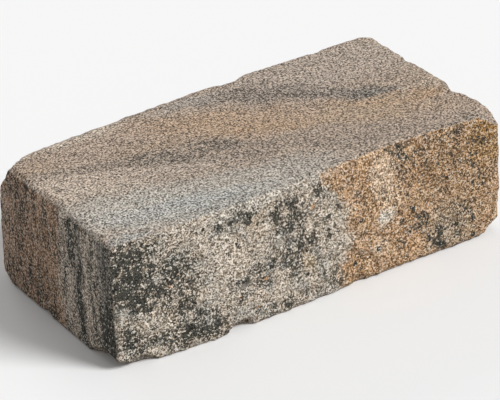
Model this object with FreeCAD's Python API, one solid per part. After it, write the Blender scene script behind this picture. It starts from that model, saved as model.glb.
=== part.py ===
import FreeCAD, Part
import os
from FreeCAD import Vector

# A tumbled concrete retaining wall block, in millimetres.
# +X runs along the wall, -Y points out of the wall, from the split face, and +Z is up.
# The origin is the middle of the footprint, on the bed that the block stands on.

# The block as it is moulded, before it is split and tumbled
block_length = 400.0
block_depth = 212.0         # from the back to the foremost point of the break
block_height = 122.0

# The break, as the poles that its uneven surface is drawn towards: how far back each lies.
# One row for each level, from the lower bed to the upper one, each from left to right.
break_relief = [
    [13.5, 7.5, 3.0, 2.5, 3.5, 6.0, 7.5, 8.0, 9.5, 11.5, 14.0],
    [10.5, 6.0, 2.5, 0.5, 5.5, 5.0, 8.0, 10.0, 7.5, 9.0, 8.0],
    [7.5, 5.0, 8.0, 2.0, 2.5, 5.0, 5.5, 11.5, 13.5, 5.0, 3.5],
    [8.5, 3.5, 2.5, 5.5, 1.0, 9.5, 10.0, 15.5, 10.0, 6.5, 3.5],
    [10.5, 4.0, 3.0, 3.5, 5.5, 9.0, 13.0, 15.0, 12.5, 7.5, 7.0],
]
break_overrun = 30.0        # how far the break's surface runs past the block on every side

# Worn arrises: the radius at both ends of each, from -X to +X, -Y to +Y or -Z to +Z
arris_radii = {
    ("front", "top"): (3.5, 4.0),
    ("back", "top"): (8.5, 8.5),
    ("left", "top"): (8.0, 8.0),
    ("right", "top"): (9.0, 9.0),
    ("front", "bottom"): (4.5, 6.0),
    ("back", "bottom"): (5.5, 5.5),
    ("left", "bottom"): (3.0, 3.0),
    ("right", "bottom"): (5.5, 5.5),
    ("front", "left"): (6.0, 5.0),
    ("front", "right"): (8.0, 7.0),
    ("back", "left"): (10.0, 22.0),
    ("back", "right"): (11.0, 11.0),
}

# Corners worn or knocked off flat: how far each cut is set back along X, Y and Z
knocked_corners = [
    (("left", "back", "top"), (340.0, 24.0, 13.0)),
    (("left", "back", "top"), (56.0, 36.0, 46.0)),
    (("left", "back", "bottom"), (20.0, 24.0, 14.0)),
    (("left", "front", "bottom"), (34.0, 30.0, 14.0)),
    (("right", "front", "bottom"), (36.0, 28.0, 24.0)),
    (("right", "front", "top"), (30.0, 34.0, 18.0)),
    (("right", "back", "bottom"), (22.0, 26.0, 18.0)),
    (("right", "back", "top"), (20.0, 17.0, 8.0)),
]

# Chips out of the arrises: where each one is along the arris, from 0 to 1,
# how wide it is, and how deep it goes from the sharp corner
arris_chips = [
    (("right", "top"), 0.68, 24.0, 8.0),
    (("right", "top"), 0.325, 40.0, 9.0),
    (("front", "bottom"), 0.055, 44.0, 10.0),
    (("front", "bottom"), 0.305, 30.0, 9.5),
    (("front", "bottom"), 0.615, 22.0, 10.5),
    (("front", "bottom"), 0.75, 24.0, 9.0),
    (("back", "top"), 0.60, 48.0, 8.5),
    (("back", "top"), 0.84, 24.0, 6.5),
    (("back", "bottom"), 0.25, 30.0, 7.0),
    (("back", "bottom"), 0.66, 22.0, 6.0),
    (("left", "bottom"), 0.10, 66.0, 10.5),
    (("left", "bottom"), 0.60, 20.0, 4.5),
    (("right", "bottom"), 0.45, 28.0, 7.0),
    (("front", "right"), 0.27, 12.0, 8.0),
    (("back", "right"), 0.55, 26.0, 9.0),
]

# Each side's outward direction
outward = {
    "left": Vector(-1, 0, 0),
    "right": Vector(1, 0, 0),
    "front": Vector(0, -1, 0),
    "back": Vector(0, 1, 0),
    "bottom": Vector(0, 0, -1),
    "top": Vector(0, 0, 1),
}


def place(*sides):
    """The middle of the side, arris or corner where these sides meet, on the unbroken block."""
    point = Vector(0, 0, block_height / 2)
    for side in sides:
        way = outward[side]
        point += Vector(way.x * block_length, way.y * block_depth, way.z * block_height) / 2
    return point


def moulded_block():
    """The plain block, with spare depth in front for the break."""
    low = place("left", "front", "bottom") - Vector(0, break_overrun, 0)
    return Part.makeBox(block_length, block_depth + break_overrun, block_height, low)


def even_knots(pole_count):
    """The knots of a cubic spline with this many poles, and how often each one counts."""
    knots = list(range(pole_count - 2))
    return knots, [4] + [1] * (pole_count - 4) + [4]


def behind_the_break():
    """The uneven surface of the break, pushed back through the whole block."""
    length = block_length + 2 * break_overrun
    height = block_height + 2 * break_overrun
    low = place("left", "front", "bottom") - Vector(break_overrun, 0, break_overrun)
    levels = len(break_relief) - 1
    stations = len(break_relief[0]) - 1
    poles = [
        [low + Vector(length * i / stations, setback, height * j / levels)
         for i, setback in enumerate(row)]
        for j, row in enumerate(break_relief)
    ]
    up_knots, up_times = even_knots(levels + 1)
    along_knots, along_times = even_knots(stations + 1)
    surface = Part.BSplineSurface()
    surface.buildFromPolesMultsKnots(poles, up_times, along_times, up_knots, along_knots,
                                     False, False, 3, 3)
    face = surface.toShape()
    block = moulded_block()
    front = min(block.Faces, key=lambda side: side.CenterOfMass.y)
    nearest = face.common(block).distToShape(front)[0]
    face.translate(Vector(0, break_overrun - nearest, 0))
    return face.extrude(Vector(0, block_depth + break_overrun, 0))


def sides_of(edge):
    """The two sides that an edge of the unworn block lies between."""
    middle = edge.valueAt((edge.FirstParameter + edge.LastParameter) / 2)
    reach = Vector(block_length, block_depth, block_height) / 2
    centre = place()
    off = middle - centre
    shares = {side: (off.x * way.x / reach.x + off.y * way.y / reach.y + off.z * way.z / reach.z)
              for side, way in outward.items()}
    return sorted(shares, key=shares.get)[-2:]


def worn_arrises(block):
    """Rounds every arris, with a radius that changes along it."""
    document = FreeCAD.newDocument("arrises")
    sharp = document.addObject("Part::Feature", "sharp")
    sharp.Shape = block
    rounds = []
    for number, edge in enumerate(block.Edges, 1):
        sides = set(sides_of(edge))
        low_radius, high_radius = next(r for pair, r in arris_radii.items() if set(pair) == sides)
        run = edge.valueAt(edge.LastParameter) - edge.valueAt(edge.FirstParameter)
        if run.x + run.y + run.z > 0:
            rounds.append((number, low_radius, high_radius))
        else:
            rounds.append((number, high_radius, low_radius))
    worn = document.addObject("Part::Fillet", "worn")
    worn.Base = sharp
    worn.Edges = rounds
    document.recompute()
    return worn.Shape.Solids[0]


def knocked_off(block):
    """Cuts each knocked corner off along a plane through its three setbacks."""
    for sides, setbacks in knocked_corners:
        corner = place(*sides)
        cut = [corner - outward[side] * setback for side, setback in zip(sides, setbacks)]
        normal = (cut[1] - cut[0]).cross(cut[2] - cut[0]).normalize()
        if normal.dot(corner - cut[0]) < 0:
            normal = -normal
        reach = 3 * max(setbacks)
        disc = Part.Face(Part.Wire(Part.makeCircle(reach, (cut[0] + cut[1] + cut[2]) / 3, normal)))
        block = block.cut(disc.extrude(normal * reach))
    return block


def chipped(block):
    """Takes each chip out of its arris with a ball as wide and as deep as the chip."""
    for sides, share, width, depth in arris_chips:
        way_out = (outward[sides[0]] + outward[sides[1]]).normalize()
        middle = place(*sides)
        along = outward[sides[0]].cross(outward[sides[1]])
        along = Vector(abs(along.x), abs(along.y), abs(along.z))
        length = abs(along.x) * block_length + abs(along.y) * block_depth + abs(along.z) * block_height
        deepest = middle + along * length * (share - 0.5) - way_out * depth
        radius = (width ** 2 / 4 + depth ** 2) / (2 * depth)
        block = block.cut(Part.makeSphere(radius, deepest + way_out * radius))
    return block


def main():
    block = moulded_block().common(behind_the_break())
    block = worn_arrises(block)
    block = knocked_off(block)
    block = chipped(block)
    print("valid", block.isValid(), "solids", len(block.Solids), "volume", round(block.Volume))
    os.makedirs("parts", exist_ok=True)
    block.exportStep("parts/block.step")


main()
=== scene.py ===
import bpy
import bmesh
import math
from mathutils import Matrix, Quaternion, Vector, noise
from mathutils.bvhtree import BVHTree


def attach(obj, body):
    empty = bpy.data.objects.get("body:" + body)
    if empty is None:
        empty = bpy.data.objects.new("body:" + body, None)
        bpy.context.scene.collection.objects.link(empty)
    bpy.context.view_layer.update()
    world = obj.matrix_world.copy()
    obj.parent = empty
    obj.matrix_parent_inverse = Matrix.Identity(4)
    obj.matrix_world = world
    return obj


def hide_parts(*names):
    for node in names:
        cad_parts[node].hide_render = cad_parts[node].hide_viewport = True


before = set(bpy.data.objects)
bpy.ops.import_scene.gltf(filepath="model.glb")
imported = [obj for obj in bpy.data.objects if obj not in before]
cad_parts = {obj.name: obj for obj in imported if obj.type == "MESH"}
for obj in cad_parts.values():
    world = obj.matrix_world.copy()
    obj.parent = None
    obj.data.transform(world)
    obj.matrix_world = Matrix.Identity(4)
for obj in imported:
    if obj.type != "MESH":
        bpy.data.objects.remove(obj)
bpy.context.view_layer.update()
print("frame loaded")

# Sizes in metres. Each relief is a list of (how wide its lumps are, how high they stand).
blockShape = {
    "grid": 0.0026,             # mesh size on the moulded faces, and half of it on the break
    "weld": 0.000002,           # points nearer to each other than this are one
    "finerWhere": (0.8, 0.975),     # normals that face the front by more, or all axes by less
    "smoothWhere": (0.97, 0.5),     # normals that face all axes by less, and how much
    "splitLumps": [(0.018, 0.0007), (0.0075, 0.0005)],
    "splitGrains": (0.0042, 0.0009),
    "bedLumps": [(0.030, 0.00025), (0.006, 0.00012)],
    "mouldLumps": [(0.022, 0.00035), (0.0055, 0.00025)],
    "mouldStreak": 0.3,         # how much the mould's grain is drawn out up and down
    "arrisLumps": [(0.012, 0.0009), (0.0045, 0.0008)],
    "pits": (0.011, 0.0016, 0.0012),    # how far apart, how wide and how deep
    "hollowShadeLevels": (0.55, 0.9),     # painted shade in the recesses: how dark it is between the grains, and in the pits
    "ragged": (0.005, 0.16),    # how wide and how strong the teeth between two faces are
    # how far a normal turns to a face where its relief begins, and where it is full
    "splitTurn": (0.5, 0.72),
    "bedTurn": (0.5, 0.8),
    "wornTurn": (0.03, 0.22),   # the same, but away from every face
    "seed": 4.0,
}


def smoothStep(low, high, value):
    t = min(max((value - low) / (high - low), 0.0), 1.0)
    return t * t * (3.0 - 2.0 * t)


def lumps(point, sizes, seed):
    total = 0.0
    for size, height in sizes:
        total += noise.noise(point / size + Vector((seed, 3.7 * seed, 1.9))) * height
    return total


def grainsOf(point, size, seed):
    near, places = noise.voronoi(point / size + Vector((seed, 0.0, 0.0)))
    own = noise.cell(places[0] * 7.3)
    return min((near[1] - near[0]) * 2.2, 1.0) * (0.55 + 0.45 * own)


def pitAt(point, apart, width, seed):
    near, places = noise.voronoi(point / apart + Vector((0.0, seed, 0.0)))
    own = noise.cell(places[0] * 5.1)
    return 1.0 - smoothStep(0.35, 1.0, near[0] * apart / width / (0.4 + own))


def evenMesh(source, size, weld):
    mesh = source.data.copy()
    mesh.materials.clear()
    welded = bmesh.new()
    welded.from_mesh(mesh)
    bmesh.ops.remove_doubles(welded, verts=welded.verts, dist=weld)
    welded.to_mesh(mesh)
    solid = BVHTree.FromBMesh(welded)
    welded.free()
    carrier = bpy.data.objects.new("evenMesh", mesh)
    bpy.context.collection.objects.link(carrier)
    even = carrier.modifiers.new("even", "REMESH")
    even.mode = "VOXEL"
    even.voxel_size = size
    ready = carrier.evaluated_get(bpy.context.evaluated_depsgraph_get())
    result = bpy.data.meshes.new_from_object(ready)
    bpy.data.objects.remove(carrier)
    return result, solid


def straightness(normal):
    # 1 where the normal runs along an axis
    return max(abs(c) for c in normal)


def makeBlock(shape):
    mesh, solid = evenMesh(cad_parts["block"], shape["grid"], shape["weld"])
    bm = bmesh.new()
    bm.from_mesh(mesh)
    bm.normal_update()
    # the break and the worn arrises get a mesh twice as fine
    front, straight = shape["finerWhere"]
    fine = [e for e in bm.edges
            if any(-v.normal.y > front or straightness(v.normal) < straight for v in e.verts)]
    bmesh.ops.subdivide_edges(bm, edges=fine, cuts=1, use_grid_fill=True)
    for v in bm.verts:
        v.co = solid.find_nearest(v.co)[0]
    straight, much = shape["smoothWhere"]
    turned = [v for v in bm.verts if straightness(v.normal) < straight]
    bmesh.ops.smooth_vert(bm, verts=turned, factor=much,
                          use_axis_x=True, use_axis_y=True, use_axis_z=True)
    bm.normal_update()
    split = bm.verts.layers.float.new("split")
    bed = bm.verts.layers.float.new("bed")
    worn = bm.verts.layers.float.new("worn")
    hollowShade = bm.verts.layers.float.new("hollowShade")
    seed = shape["seed"]
    teeth, strength = shape["ragged"]
    grainSize, grainHeight = shape["splitGrains"]
    pitsApart, pitWidth, pitDepth = shape["pits"]
    shadeBetweenGrains, shadeInPits = shape["hollowShadeLevels"]
    moved = []
    for v in bm.verts:
        p = v.co
        n = v.normal
        ragged = strength * noise.noise(p / teeth + Vector((9.0, seed, 0.0)))
        v[split] = smoothStep(*shape["splitTurn"], -n.y + ragged)
        v[bed] = smoothStep(*shape["bedTurn"], abs(n.z) + ragged)
        v[worn] = smoothStep(*shape["wornTurn"], 1.0 - straightness(n))
        mould = max(0.0, 1.0 - v[split] - v[bed])
        lift = 0.0
        shadeAmount = 0.0
        if v[split] > 0.0:
            grains = grainsOf(p, grainSize, seed)
            pit = pitAt(p, pitsApart, pitWidth, seed)
            lift += v[split] * (lumps(p, shape["splitLumps"], seed) + (grains - 0.5) * grainHeight
                                - pit * pitDepth)
            # painted shade: the lower the relief between the grains and in the pits, the darker
            # the colour made there
            shadeAmount += v[split] * (shadeBetweenGrains * (1.0 - grains) + shadeInPits * pit)
        if mould > 0.0:
            drawn = Vector((p.x, p.y, p.z * shape["mouldStreak"]))
            lift += mould * lumps(drawn, shape["mouldLumps"], seed + 5.0)
        if v[bed] > 0.0:
            lift += v[bed] * lumps(p, shape["bedLumps"], seed + 9.0)
        if v[worn] > 0.0:
            lift += v[worn] * lumps(p, shape["arrisLumps"], seed + 2.0)
        v[hollowShade] = min(shadeAmount, 1.0)
        moved.append((v, p + n * lift))
    for v, place in moved:
        v.co = Vector((place.x, place.y, max(place.z, 0.0)))
    bmesh.ops.triangulate(bm, faces=[f for f in bm.faces if len(f.verts) > 4])
    for f in bm.faces:
        f.smooth = True
    bm.to_mesh(mesh)
    bm.free()
    block = bpy.data.objects.new("splitBlock", mesh)
    bpy.context.collection.objects.link(block)
    mesh.calc_loop_triangles()
    print("block mesh:", len(mesh.loop_triangles), "triangles")
    return block


# Colours are linear. Sizes are in metres, but the patches' places and sizes are in millimetres.
concreteLook = {
    "charcoal": (0.0355, 0.034, 0.0275),
    "quartz": (0.78, 0.73, 0.65),
    "rust": (0.46, 0.235, 0.095),
    "saturation": 1.13,
    "value": 1.055,
    "fineGrain": 0.00110,
    "fineLevels": (0.22, 2.10),     # the darkest and the brightest fine grain
    "darkGrain": 0.0022,
    "darkLevels": (0.4, 3.2),
    "roundGrain": 0.0018,
    "roundShare": 0.22,         # how many of the round grains are pale, and as many are black
    "bumpDepth": 0.0003,
    "roughness": (0.98, 0.84),  # between the grains and on them
    # clouds that push the patches' edges about: size, reach, roughness
    "patchEdges": [(0.035, 0.030, 0.5), (0.006, 0.016, 0.7)],
    # the upper and the lower bed
    "bedGrain": 0.0018,
    "bedLevels": (0.0, 2.08),
    "bedStreaks": (0.011, 6.0, -23.0),      # how wide, how many times longer, turn in degrees
    "topBase": (0.375, 0.297, 0.233),
    "topShade": 0.86,
    # place x y, half sizes, turn in degrees, how much, colour
    "topPatches": [
        (120, 70, 150, 60, -15, 0.8, (0.395, 0.330, 0.275)),
        (140, -72, 140, 34, -8, 0.9, (0.335, 0.268, 0.215)),
        (-20, -78, 100, 36, -12, 0.9, (0.380, 0.345, 0.300)),
        (-125, -72, 150, 62, -22, 1.0, (0.425, 0.398, 0.352)),
        (-105, -80, 110, 24, -10, 0.8, (0.375, 0.372, 0.350)),
        (-165, 16, 80, 28, -22, 1.0, (0.450, 0.370, 0.300)),
        (-85, -16, 90, 21, -22, 0.9, (0.405, 0.335, 0.275)),
        (-120, 62, 120, 28, -8, 0.6, (0.370, 0.290, 0.230)),
        (-5, 34, 120, 32, -26, 0.9, (0.385, 0.275, 0.190)),
        (115, -34, 120, 28, -24, 0.8, (0.385, 0.285, 0.200)),
        (-40, 18, 90, 22, -22, 0.5, (0.360, 0.262, 0.185)),
        (-180, 58, 32, 20, 0, 0.6, (0.380, 0.280, 0.200)),
        (176, -32, 28, 16, 0, 0.8, (0.370, 0.250, 0.155)),
        (-172, -2, 34, 18, -20, 0.8, (0.465, 0.390, 0.320)),
        (-132, -22, 32, 14, -20, 0.8, (0.455, 0.385, 0.320)),
        (-80, -98, 72, 10, 0, 0.6, (0.300, 0.285, 0.260)),
        (140, -98, 72, 10, 0, 0.7, (0.270, 0.225, 0.185)),
        (22, -2, 74, 18, -24, 0.6, (0.385, 0.265, 0.172)),
        (104, -2, 50, 16, -24, 0.5, (0.375, 0.260, 0.170)),
        (-150, 30, 74, 12, -20, 0.75, (0.235, 0.195, 0.160)),
        (-80, 2, 56, 18, -30, 0.9, (0.225, 0.190, 0.155)),
        (-20, -32, 60, 14, -22, 0.7, (0.240, 0.200, 0.165)),
        (50, -62, 74, 17, -30, 0.6, (0.275, 0.230, 0.190)),
        (5, 80, 60, 16, -14, 0.75, (0.235, 0.200, 0.170)),
        (64, 52, 58, 20, -36, 0.85, (0.225, 0.190, 0.160)),
        (108, 20, 52, 17, -36, 0.85, (0.220, 0.190, 0.162)),
        (132, -3, 44, 16, -20, 0.9, (0.190, 0.175, 0.155)),
        (-132, 92, 84, 20, 0, 0.9, (0.510, 0.435, 0.355)),
        (180, 76, 28, 26, 0, 0.6, (0.440, 0.370, 0.305)),
        (184, -12, 22, 20, 0, 0.6, (0.440, 0.350, 0.265)),
        (100, 40, 40, 15, -36, 0.5, (0.250, 0.215, 0.180)),
        (12, 70, 26, 10, -14, 0.6, (0.250, 0.215, 0.180)),
        (150, -98, 62, 12, 0, 0.7, (0.245, 0.205, 0.168)),
        (-15, -12, 50, 10, -22, 0.6, (0.240, 0.200, 0.165)),
        (84, 30, 26, 12, -30, 0.7, (0.235, 0.198, 0.165)),
        (36, -30, 46, 11, -20, 0.5, (0.270, 0.225, 0.185)),
        (-55, -10, 26, 9, -22, 0.5, (0.240, 0.200, 0.165)),
        (62, 80, 26, 12, -20, 0.5, (0.270, 0.230, 0.195)),
        (-36, 2, 44, 15, -22, 0.8, (0.215, 0.180, 0.148)),
        (38, 52, 34, 15, -30, 0.8, (0.235, 0.200, 0.170)),
        (-84, 28, 44, 15, -10, 0.6, (0.310, 0.235, 0.170)),
        (-180, -98, 34, 15, 0, 0.8, (0.320, 0.315, 0.295)),
        (140, -22, 54, 20, -24, 0.7, (0.390, 0.275, 0.180)),
        (-20, 84, 54, 14, 0, 0.6, (0.345, 0.308, 0.272)),
    ],
    # the break
    "splitCloud": 0.016,
    "splitGrey": [(0.36, (0.340, 0.318, 0.278)), (0.46, (0.400, 0.350, 0.285)),
                  (0.58, (0.420, 0.348, 0.270)), (0.68, (0.480, 0.410, 0.330))],
    "splitOchre": [(0.34, (0.350, 0.235, 0.145)), (0.46, (0.450, 0.292, 0.172)),
                   (0.58, (0.480, 0.305, 0.165)), (0.70, (0.540, 0.400, 0.260))],
    "splitMottle": 0.0085,
    "splitStones": 0.0085,
    # X where the ochre mix begins, low and high, and the Z from which to which it leans
    "splitSeam": (0.0355, 0.013, 0.075, 0.122),
    # place x z, half sizes, turn, how much, colour between the grains
    "splitTints": [
        (-62, 98, 16, 14, 0, 0.7, (0.450, 0.350, 0.240)),
        (-160, 34, 34, 24, -20, 0.6, (0.480, 0.410, 0.325)),
        (-88, 62, 22, 56, 6, 0.7, (0.480, 0.410, 0.330)),
        (-38, 26, 20, 22, -15, 0.7, (0.480, 0.405, 0.320)),
        (-8, 44, 16, 12, 0, 0.6, (0.460, 0.350, 0.220)),
        (78, 92, 22, 44, 8, 0.8, (0.560, 0.420, 0.290)),
        (76, 54, 12, 12, 0, 1.0, (0.600, 0.540, 0.450)),
        (72, 28, 20, 14, 0, 0.5, (0.560, 0.440, 0.320)),
        (112, 18, 16, 14, 0, 1.0, (0.480, 0.295, 0.155)),
        (160, 70, 80, 74, 0, 0.6, (0.390, 0.255, 0.145)),
        (145, 22, 40, 32, 0, 0.7, (0.360, 0.290, 0.210)),
        (192, 116, 34, 18, 0, 0.8, (0.400, 0.235, 0.095)),
        (38, 10, 20, 20, 0, 0.5, (0.500, 0.300, 0.145)),
        (186, 98, 32, 30, 0, 0.6, (0.400, 0.240, 0.100)),
        (-60, 88, 28, 22, 0, 0.5, (0.470, 0.395, 0.310)),
        (-90, 78, 30, 34, 0, 0.5, (0.500, 0.420, 0.335)),
        (15, 70, 18, 60, 0, 0.4, (0.470, 0.400, 0.315)),
        (-60, 119, 120, 10, 0, 0.5, (0.500, 0.450, 0.380)),
        (30, 50, 13, 18, 0, 0.7, (0.490, 0.425, 0.345)),
        (115, 88, 15, 20, 0, 0.5, (0.490, 0.300, 0.155)),
        (140, 42, 20, 18, 0, 0.4, (0.340, 0.270, 0.190)),
    ],
    # place x z, half sizes, turn, how many more dark grains (or fewer, where negative)
    "splitDark": [
        (-192, 94, 36, 42, 0, 0.78), (-150, 72, 56, 22, 0, 0.30), (-168, 62, 26, 14, 0, 0.50),
        (-133, 58, 22, 52, 12, 0.34), (-160, 100, 50, 26, 0, 0.14), (-187, 30, 15, 18, 0, 0.55),
        (-165, 48, 30, 20, 0, 0.12), (-165, 20, 40, 20, 0, 0.22),
        (-66, 48, 26, 26, 0, 0.18), (-122, 14, 52, 22, -6, 0.36),
        (-160, 34, 28, 20, -20, -0.10), (-88, 109, 12, 10, 0, 0.30), (-67, 108, 12, 11, 0, 0.25),
        (-105, 84, 30, 26, 0, -0.20), (-122, 100, 16, 16, 0, -0.28), (-60, 86, 32, 24, 0, -0.20),
        (-92, 78, 34, 34, 0, -0.12), (-80, 119, 130, 10, 0, -0.15), (30, 50, 14, 18, 0, -0.20),
        (-25, 94, 25, 24, 10, 0.42), (-15, 62, 24, 18, 0, 0.50), (-38, 48, 26, 12, 15, 0.24),
        (-41, 27, 18, 22, -15, -0.35), (-24, 34, 13, 14, 0, 0.24), (-34, 6, 18, 13, 0, 0.24),
        (14, 94, 13, 14, 0, 0.20), (23, 14, 13, 14, 0, 0.30), (12, 104, 13, 20, 0, 0.16),
        (95, 108, 14, 30, 25, 0.20), (140, 102, 80, 40, -8, 0.08), (180, 84, 40, 50, 0, 0.06),
        (105, 57, 7, 6, 0, 0.90), (110, 33, 17, 5, -10, 0.45), (114, 18, 15, 14, 0, -0.20),
        (114, 40, 17, 18, 0, 0.34), (-76, 113, 30, 10, 0, 0.30), (88, 50, 14, 20, 0, 0.12),
        (85, 66, 14, 10, 0, 0.14), (55, 14, 12, 10, 0, 0.14), (135, 34, 13, 12, 0, -0.20),
        (94, 16, 10, 15, 0, 0.24), (131, 18, 9, 14, 0, 0.45), (150, 24, 42, 28, 0, 0.10),
        (76, 54, 13, 13, 0, -0.60), (-66, 95, 3, 4, 0, 0.9), (-77, 83, 4, 4, 0, 0.7),
        (-58, 97, 3, 4, 0, 0.9),
    ],
    # the ends and the back
    "mouldGrain": 1.2,          # how many times longer the grains are up and down
    "mouldDrawn": 3.5,          # and the bands
    "mouldCloud": 0.024,
    "mouldMix": [(0.36, (0.270, 0.232, 0.195)), (0.44, (0.555, 0.466, 0.376)),
                 (0.54, (0.543, 0.454, 0.364)), (0.60, (0.480, 0.325, 0.225)),
                 (0.75, (0.430, 0.290, 0.205))],
    "leftLevel": 0.95,
    "mouldLevel": 0.82,
    "leftFade": (-0.18, -0.15),     # from which X to which the left end's bands fade
    # place y z before the bands are drawn out, half sizes, how many more dark grains
    "leftDark": [(-86, 9, 24, 14, 0.75), (-45, 12, 6, 20, 0.50), (-31, 28, 8, 10, 0.45),
                 (30, 5, 60, 6, 0.20), (50, 28, 14, 12, 0.20), (-68, 25, 12, 14, 0.20),
                 (30, 27, 8, 10, 0.12)],
    # the left end from front to back: share of the depth, colour
    "leftBands": [
        (0.00, (0.195, 0.175, 0.148)), (0.10, (0.270, 0.240, 0.205)),
        (0.15, (0.560, 0.470, 0.380)), (0.24, (0.560, 0.470, 0.380)),
        (0.28, (0.230, 0.205, 0.170)), (0.34, (0.560, 0.472, 0.388)),
        (0.42, (0.550, 0.462, 0.372)), (0.47, (0.490, 0.328, 0.220)),
        (0.75, (0.440, 0.292, 0.198)), (1.00, (0.490, 0.350, 0.252)),
    ],
}


class Tree:
    # a material's nodes, with short calls for the few kinds used here
    def __init__(self, material):
        material.use_nodes = True
        self.nodes = material.node_tree.nodes
        self.links = material.node_tree.links
        self.nodes.clear()

    def add(self, kind, out=0, inputs=None, **settings):
        made = self.nodes.new("ShaderNode" + kind)
        for name, value in settings.items():
            setattr(made, name, value)
        for name, value in (inputs or {}).items():
            socket = made.inputs[name]
            if isinstance(value, bpy.types.NodeSocket):
                self.links.new(value, socket)
            else:
                socket.default_value = value
        return made.outputs[out]

    def end(self, kind, shader):
        made = self.nodes.new("ShaderNode" + kind)
        self.links.new(shader, made.inputs["Surface"])

    def calc(self, operation, first, second, clamp=False):
        return self.add("Math", inputs={0: first, 1: second}, operation=operation, use_clamp=clamp)

    def plus(self, first, second, share=1.0):
        # first + second * share
        return self.add("Math", inputs={0: second, 1: share, 2: first},
                        operation="MULTIPLY_ADD")

    def scaled(self, colour, factor):
        return self.add("VectorMath", inputs={0: colour, 3: factor}, operation="SCALE")

    def wander(self, place, size, reach, rough=0.5):
        # the place, pushed about by a cloud of this size
        cloud = self.cloud(place, size, 2.0, rough, 1)
        centred = self.add("VectorMath", inputs={0: cloud, 1: (0.5, 0.5, 0.5)},
                           operation="SUBTRACT")
        return self.add("VectorMath", inputs={0: place, 1: self.scaled(centred, reach)},
                        operation="ADD")

    def step(self, value, low, high, toLow=0.0, toHigh=1.0):
        return self.add("MapRange", inputs={"Value": value, "From Min": low, "From Max": high,
                                            "To Min": toLow, "To Max": toHigh},
                        interpolation_type="SMOOTHSTEP")

    def blend(self, share, first, second):
        # the first colour, and the second over this share of it
        both = [(*c, 1.0) if isinstance(c, tuple) else c for c in (first, second)]
        return self.add("Mix", 2, {0: share, 6: both[0], 7: both[1]}, data_type="RGBA")

    def cloud(self, coords, size, detail, rough, out=0):
        return self.add("TexNoise", out, {"Vector": coords, "Scale": 1.0 / size,
                                          "Detail": detail, "Roughness": rough})

    def cells(self, coords, size):
        # how far from a grain's middle, and the grain's own three numbers from 0 to 1
        made = self.nodes.new("ShaderNodeTexVoronoi")
        self.links.new(coords, made.inputs["Vector"])
        made.inputs["Scale"].default_value = 1.0 / size
        apart = self.nodes.new("ShaderNodeSeparateColor")
        self.links.new(made.outputs["Color"], apart.inputs[0])
        return made.outputs["Distance"], apart.outputs[0], apart.outputs[1], apart.outputs[2]

    def ramp(self, value, stops):
        made = self.nodes.new("ShaderNodeValToRGB")
        self.links.new(value, made.inputs[0])
        while len(made.color_ramp.elements) < len(stops):
            made.color_ramp.elements.new(0.5)
        for element, (place, colour) in zip(made.color_ramp.elements, stops):
            element.position = place
            element.color = (*colour, 1.0)
        return made.outputs[0]

    def local(self, coords, centre, turn, scale):
        # the coordinates of a frame that is moved, turned in degrees and scaled
        return self.add("Mapping", inputs={"Vector": coords, "Location": centre,
                                           "Rotation": [math.radians(a) for a in turn],
                                           "Scale": scale},
                        vector_type="TEXTURE")

    def patch(self, coords, centre, halves, turn, most):
        # a soft round patch, in millimetres, of this much at its middle
        inside = self.local(coords, [c / 1000 for c in centre], turn, [h / 1000 for h in halves])
        ball = self.add("TexGradient", 1, {"Vector": inside}, gradient_type="SPHERICAL")
        return self.step(ball, 0.0, 0.75, 0.0, most)


def darkGrains(t, ragged, share):
    # where a ragged cloud holds dark grains, over this share of it
    return t.step(t.plus(ragged, share, -0.24), 0.360, 0.400, 1.0, 0.0)


def deepened(t, colour, level):
    # darker, and no greyer
    return t.scaled(t.add("Gamma", inputs={0: colour, 1: 1.4}), level)


def speckled(t, place, matrix, look, share):
    # the mix's fine grains, with dark ones over this share of it and a few round ones
    matrix = t.add("HueSaturation", inputs={"Saturation": look["saturation"],
                                            "Value": look["value"], "Color": matrix})
    own, kind = t.cells(place, look["fineGrain"])[1:3]
    # the brighter a grain, the greyer it is
    grey = t.add("RGBToBW", inputs={0: matrix})
    colour = t.blend(t.step(own, 0.30, 1.0, 0.0, 0.46), matrix, grey)
    colour = t.scaled(colour, t.step(own, 0.0, 1.0, *look["fineLevels"]))
    # few dark grains have the mix's own hue, and many are charcoal
    ragged = t.cloud(place, look["darkGrain"], 3.0, 0.75)
    grain = t.blend(t.step(share, 0.15, 0.62), deepened(t, matrix, 0.49), look["charcoal"])
    grain = t.scaled(grain, t.step(kind, 0.0, 1.0, *look["darkLevels"]))
    colour = t.blend(darkGrains(t, ragged, share), colour, grain)
    # round ones, pale or nearly black
    apart, chosen, tone = t.cells(place, look["roundGrain"])[:3]
    inside = t.step(apart, 0.34, 0.44, 1.0, 0.0)
    few = look["roundShare"]
    pale = t.calc("MULTIPLY", t.step(chosen, 0.99 - few, 1.01 - few), inside)
    paleColour = t.blend(t.step(tone, 0.0, 1.0, 0.25, 1.0), matrix, look["quartz"])
    colour = t.blend(pale, colour, paleColour)
    black = t.calc("MULTIPLY", t.step(chosen, few - 0.02, few, 1.0, 0.0), inside)
    colour = t.blend(black, colour, t.scaled(matrix, 0.12))
    # the height leaves out how the mix is spread, which the bump would work out three times
    return colour, t.calc("SUBTRACT", t.plus(t.step(ragged, 0.36, 0.46), pale), black)


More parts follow.
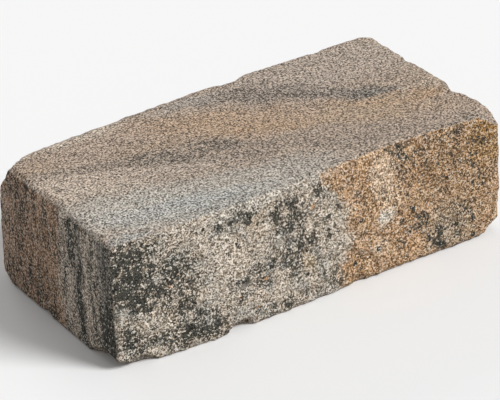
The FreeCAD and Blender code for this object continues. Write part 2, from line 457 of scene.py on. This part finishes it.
def splitColour(t, look, place, wandered, hollowShade):
    cloud = t.cloud(wandered, look["splitCloud"], 3.0, 0.55)
    grey = t.ramp(cloud, look["splitGrey"])
    ochre = t.ramp(cloud, look["splitOchre"])
    # the seam between the two mixes leans to the left higher up
    across = t.add("SeparateXYZ", inputs={0: t.wander(wandered, 0.009, 0.012, 0.75)})
    up = t.add("SeparateXYZ", 2, {0: place})
    low, high, leansFrom, leansTo = look["splitSeam"]
    seam = t.step(up, leansFrom, leansTo, low, high)
    side = t.step(t.calc("SUBTRACT", across, seam), -0.004, 0.004)
    matrix = t.blend(side, grey, ochre)
    for x, z, halfX, halfZ, turn, share, colour in look["splitTints"]:
        mask = t.patch(wandered, (x, -100, z), (halfX, 60, halfZ), (0, -turn, 0), share)
        matrix = t.blend(mask, matrix, colour)
    patches = 0.0
    for x, z, halfX, halfZ, turn, change in look["splitDark"]:
        mask = t.patch(wandered, (x, -100, z), (halfX, 60, halfZ), (0, -turn, 0), change)
        patches = t.calc("ADD", patches, mask)
    mottle = t.cloud(place, look["splitMottle"], 3.0, 0.65)
    share = t.plus(t.step(mottle, 0.3, 0.7, 0.02, 0.37), patches,
                   t.step(mottle, 0.34, 0.62, 0.45, 1.4))
    # stones broken through or torn out
    bent = t.wander(place, 0.004, 0.003)
    far, own, kind, other = t.cells(bent, look["splitStones"])
    reach = t.step(own, 0.62, 1.0, 0.0, 0.34)
    stone = t.step(t.calc("SUBTRACT", reach, far), 0.0, 0.04)
    share = t.plus(share, t.calc("MULTIPLY", stone, t.step(kind, 0.35, 0.65, 0.9, -0.5)))
    # painted shade: more dark grains where the break's relief lies low, between the grains and in
    # the pits
    share = t.plus(share, hollowShade, 0.16)
    # a few rusty ones in the grey mix
    rusty = t.calc("MULTIPLY", stone, t.step(other, 0.78, 0.80))
    matrix = t.blend(t.calc("MULTIPLY", rusty, 0.8), matrix, look["rust"])
    return speckled(t, place, matrix, look, t.plus(share, rusty, -0.3))


def bedColour(t, look, place, wandered):
    width, length, slant = look["bedStreaks"]
    slanted = t.local(place, (0, 0, 0), (0, 0, slant), (length, 1.0, 1.0))
    streaks = t.cloud(slanted, width, 3.0, 0.6)
    base = look["topBase"]
    shaded = tuple(c * look["topShade"] for c in base)
    colour = t.blend(t.step(streaks, 0.35, 0.65), base, shaded)
    streaked = t.step(streaks, 0.2, 0.6, 0.7, 1.0)
    for x, y, halfX, halfY, turn, share, patchColour in look["topPatches"]:
        mask = t.patch(wandered, (x, y, 122), (halfX, halfY, 100), (0, 0, turn), share)
        colour = t.blend(t.calc("MULTIPLY", mask, streaked), colour, patchColour)
    tone = t.cloud(place, look["bedGrain"], 2.0, 0.8)
    speck = t.step(tone, 0.32, 0.68, *look["bedLevels"])
    # the dark streaks come from dark grains
    shade = t.add("RGBToBW", inputs={0: colour})
    speck = t.calc("MULTIPLY", speck, t.step(shade, 0.19, 0.31, 1.32, 1.0))
    ragged = t.cloud(place, look["darkGrain"], 3.0, 0.75)
    dark = darkGrains(t, ragged, t.step(shade, 0.19, 0.31, 0.42, 0.04))
    return t.blend(dark, t.scaled(colour, speck), deepened(t, colour, 0.42)), tone


def mouldColour(t, look, place, worn):
    drawn = t.local(place, (0, 0, 0), (0, 0, 0), (1.0, 1.0, look["mouldGrain"]))
    streaky = t.local(place, (0, 0, 0), (0, 0, 0), (1.0, 1.0, look["mouldDrawn"]))
    wavy = t.wander(streaky, 0.018, 0.022)
    along = t.add("MapRange", inputs={"Value": t.add("SeparateXYZ", 1, {0: wavy}),
                                      "From Min": -0.106, "From Max": 0.106})
    left = t.ramp(along, look["leftBands"])
    others = t.ramp(t.cloud(streaky, look["mouldCloud"], 2.0, 0.5), look["mouldMix"])
    away = t.step(t.add("SeparateXYZ", inputs={0: place}), *look["leftFade"])
    matrix = t.blend(away, t.scaled(left, look["leftLevel"]),
                     t.scaled(others, look["mouldLevel"]))
    share = t.step(t.cloud(streaky, 0.0065, 3.0, 0.6), 0.3, 0.7, 0.12, 0.66)
    share = t.calc("MULTIPLY", share, t.step(away, 0.0, 1.0, 1.0, 0.6))
    for y, z, halfY, halfZ, change in look["leftDark"]:
        mask = t.patch(wavy, (-200, y, z), (60, halfY, halfZ), (0, 0, 0), change)
        share = t.calc("ADD", share, mask)
    return speckled(t, drawn, matrix, look, t.plus(share, worn, 0.20))


def concreteMaterial(look):
    material = bpy.data.materials.new("mixedConcrete")
    t = Tree(material)
    place = t.add("TexCoord", 3)
    split = t.add("Attribute", 2, attribute_name="split")
    bed = t.add("Attribute", 2, attribute_name="bed")
    worn = t.add("Attribute", 2, attribute_name="worn")
    # painted shade of the break's recesses, worked out with the mesh
    hollowShade = t.add("Attribute", 2, attribute_name="hollowShade")
    # places that wander, so that no patch has a drawn edge
    wandered = place
    for size, reach, rough in look["patchEdges"]:
        wandered = t.wander(wandered, size, reach, rough)
    top, speck = bedColour(t, look, place, wandered)
    front, chip = splitColour(t, look, place, wandered, hollowShade)
    sides, grit = mouldColour(t, look, place, worn)
    colour = t.blend(split, t.blend(bed, sides, top), front)
    height = t.blend(split, t.blend(bed, grit, speck), chip)
    bump = t.add("Bump", inputs={"Distance": look["bumpDepth"], "Height": height})
    rough = t.step(speck, 0.2, 0.8, *look["roughness"])
    t.end("OutputMaterial", t.add("BsdfPrincipled", inputs={
        "Base Color": colour, "Roughness": rough, "Normal": bump, "Specular IOR Level": 0.25}))
    return material


block = makeBlock(blockShape)
block.data.materials.append(concreteMaterial(concreteLook))
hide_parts("block")
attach(block, "root")
print("block done")

studio = {
    "floorSize": 12.0,
    "floorColour": (0.93, 0.93, 0.93),
    "floorBounce": (0.45, 0.45, 0.45),
    "skyLevel": 0.36,
    "keyLevel": 2.75,
    "keyTurn": (34.0, 40.0),    # degrees from the front towards the right, and up
    "keySoftness": 24.0,
    "backLevel": 0.7,
    "backTurn": (170.0, 20.0),
    "backSoftness": 30.0,
}


def sunLamp(name, level, turn, softness):
    lamp = bpy.data.lights.new(name, "SUN")
    lamp.energy = level
    lamp.angle = math.radians(softness)
    holder = bpy.data.objects.new(name, lamp)
    bpy.context.collection.objects.link(holder)
    turned, up = math.radians(turn[0]), math.radians(turn[1])
    way = Vector((math.sin(turned) * math.cos(up), -math.cos(turned) * math.cos(up), math.sin(up)))
    holder.rotation_euler = way.to_track_quat("Z", "Y").to_euler()


def makeFloor(settings):
    bm = bmesh.new()
    bmesh.ops.create_circle(bm, cap_ends=True, segments=64, radius=settings["floorSize"] / 2)
    mesh = bpy.data.meshes.new("floor")
    bm.to_mesh(mesh)
    bm.free()
    floor = bpy.data.objects.new("floor", mesh)
    bpy.context.collection.objects.link(floor)
    material = bpy.data.materials.new("paleFloor")
    t = Tree(material)
    path = t.nodes.new("ShaderNodeLightPath").outputs
    mirrored = t.calc("ADD", path["Is Glossy Ray"], path["Is Transmission Ray"])
    seen = t.calc("ADD", path["Is Camera Ray"], mirrored, True)
    colour = t.blend(seen, settings["floorBounce"], settings["floorColour"])
    t.end("OutputMaterial", t.add("BsdfDiffuse", inputs={"Color": colour}))
    mesh.materials.append(material)
    return floor


def makeSky(settings):
    world = bpy.data.worlds.new("softSky")
    bpy.context.scene.world = world
    t = Tree(world)
    path = t.nodes.new("ShaderNodeLightPath").outputs
    level = t.step(path["Is Camera Ray"], 0.0, 1.0, settings["skyLevel"], 1.0)
    shade = t.add("Background", inputs={"Color": (1.0, 1.0, 1.0, 1.0), "Strength": level})
    t.end("OutputWorld", shade)


makeFloor(studio)
makeSky(studio)
sunLamp("keyLight", studio["keyLevel"], studio["keyTurn"], studio["keySoftness"])
sunLamp("backLight", studio["backLevel"], studio["backTurn"], studio["backSoftness"])
print("studio done")

shot = {
    "turn": -30.8714,           # degrees, from the front towards the left
    "up": 28.5059,
    "roll": -3.2678,
    "distance": 2.6536,
    "lookAt": (0.0, 0.0, 0.061),
    "aside": (-0.00080, -0.00463),  # how far the aim lies to the right of that and above it
    "lens": 216.0,
}


def makeCamera(settings):
    data = bpy.data.cameras.new("camera")
    data.lens = settings["lens"]
    data.sensor_width = 36.0
    camera = bpy.data.objects.new("camera", data)
    bpy.context.collection.objects.link(camera)
    turn, up = math.radians(settings["turn"]), math.radians(settings["up"])
    back = Vector((math.sin(turn) * math.cos(up), -math.cos(turn) * math.cos(up), math.sin(up)))
    aim = (-back).to_track_quat("-Z", "Y") @ Quaternion((0, 0, 1), math.radians(settings["roll"]))
    camera.rotation_mode = "QUATERNION"
    camera.rotation_quaternion = aim
    target = Vector(settings["lookAt"]) + aim @ Vector((*settings["aside"], 0.0))
    camera.location = target + back * settings["distance"]
    bpy.context.scene.camera = camera


makeCamera(shot)
bpy.context.scene.view_settings.view_transform = "Standard"
